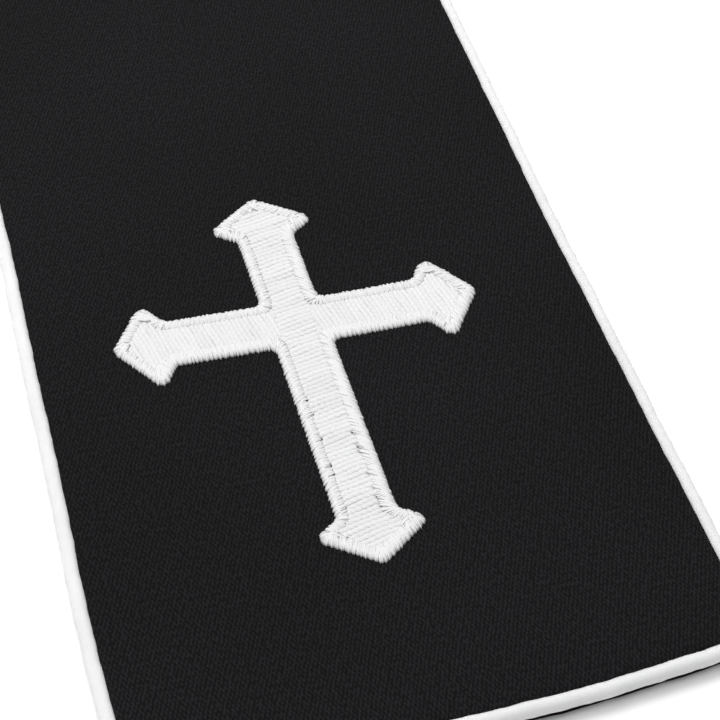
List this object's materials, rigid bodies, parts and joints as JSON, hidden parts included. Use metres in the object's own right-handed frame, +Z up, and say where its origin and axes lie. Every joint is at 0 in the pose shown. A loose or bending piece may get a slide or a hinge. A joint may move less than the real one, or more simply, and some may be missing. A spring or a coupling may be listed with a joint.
{
  "type": "clergy stole",
  "caption": "Long clergy stole laid flat: tapered black cloth panels joined at the back of the neck, edged with white cord piping, with an embroidered white cross above each hem.",
  "frame": {"origin": "centre of the stole's outline, on the surface that it lies on", "axes": "+X across the stole, towards the panel in the picture; +Y from the hems to the back of the neck; +Z up, out of the face of the cloth"},
  "size_m": [0.3716, 1.3324, 0.0041],
  "materials": {
    "black_cloth": "matte black woven cloth with a fine rib",
    "white_piping": "white cord in a bias strip of fine cloth",
    "white_thread": "white satin stitch embroidery with a soft sheen"
  },
  "bodies": {
    "root": {"panel_right": "black_cloth", "panel_left": "black_cloth", "piping_right": "white_piping", "piping_left": "white_piping", "cross_right": "white_thread", "cross_left": "white_thread"}
  },
  "joints": []
}
